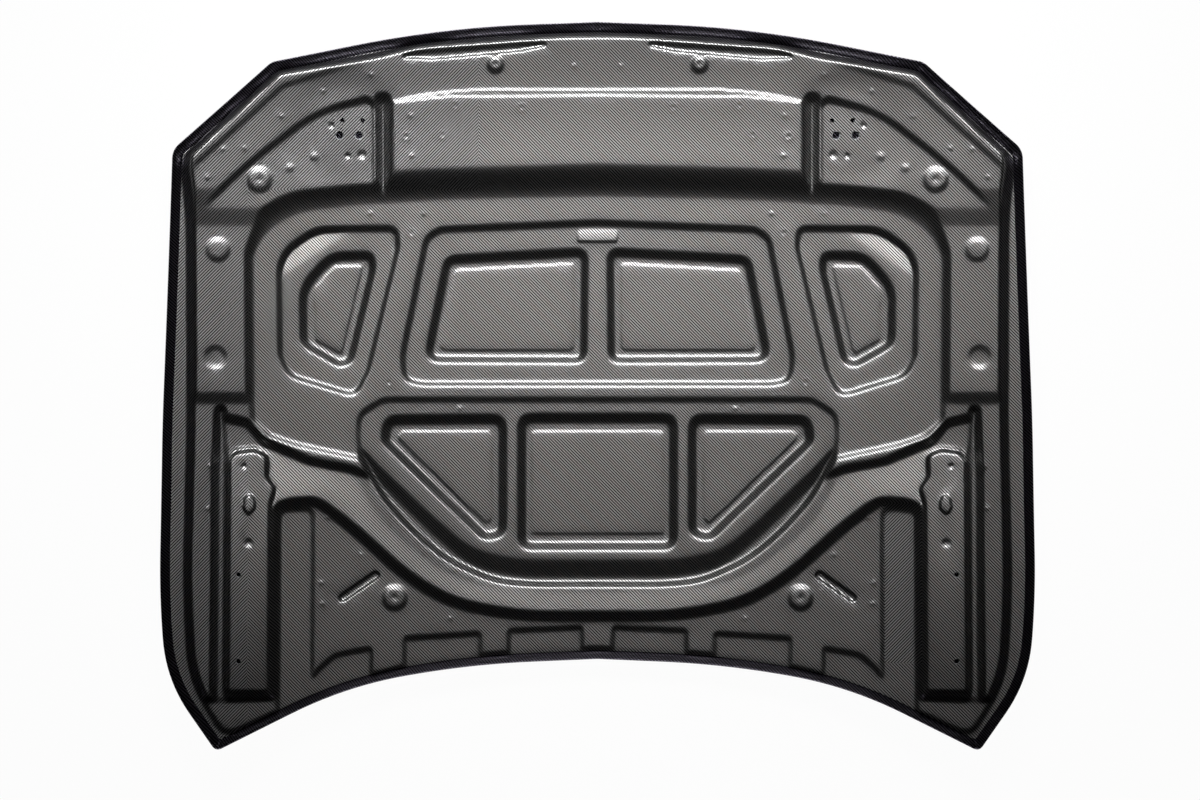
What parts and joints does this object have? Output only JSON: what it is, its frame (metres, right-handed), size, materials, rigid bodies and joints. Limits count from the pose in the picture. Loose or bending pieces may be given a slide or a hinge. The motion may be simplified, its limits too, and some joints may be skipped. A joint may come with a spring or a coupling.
{
  "type": "car bonnet",
  "caption": "Woven carbon laminate car bonnet: a crowned outer skin with a turned-up edge and a pressed inner frame, with metal plates under its hinge and latch pads.",
  "frame": {"origin": "middle of the underside of the whole bonnet's box, as it lies on its outer skin", "axes": "+X across the car, +Y towards the nose, +Z out of the underside"},
  "size_m": [1.5002, 1.2466, 0.1105],
  "materials": {
    "skin_laminate": "clear-coated 2 by 2 twill carbon fibre laminate",
    "frame_laminate": "clear-coated 2 by 2 twill carbon fibre laminate, pressed in a mould",
    "zinc_plated_steel": "zinc-plated steel"
  },
  "bodies": {
    "root": {"outer_skin": "skin_laminate", "inner_frame": "frame_laminate", "hinge_plate_left": "zinc_plated_steel", "hinge_plate_right": "zinc_plated_steel", "latch_plate_left": "zinc_plated_steel", "latch_plate_right": "zinc_plated_steel", "hinge_nut_left_front": "zinc_plated_steel", "hinge_nut_left_rear": "zinc_plated_steel", "hinge_nut_right_front": "zinc_plated_steel", "hinge_nut_right_rear": "zinc_plated_steel", "latch_nut_left_inner": "zinc_plated_steel", "latch_nut_left_outer": "zinc_plated_steel", "latch_nut_right_inner": "zinc_plated_steel", "latch_nut_right_outer": "zinc_plated_steel"}
  },
  "joints": []
}
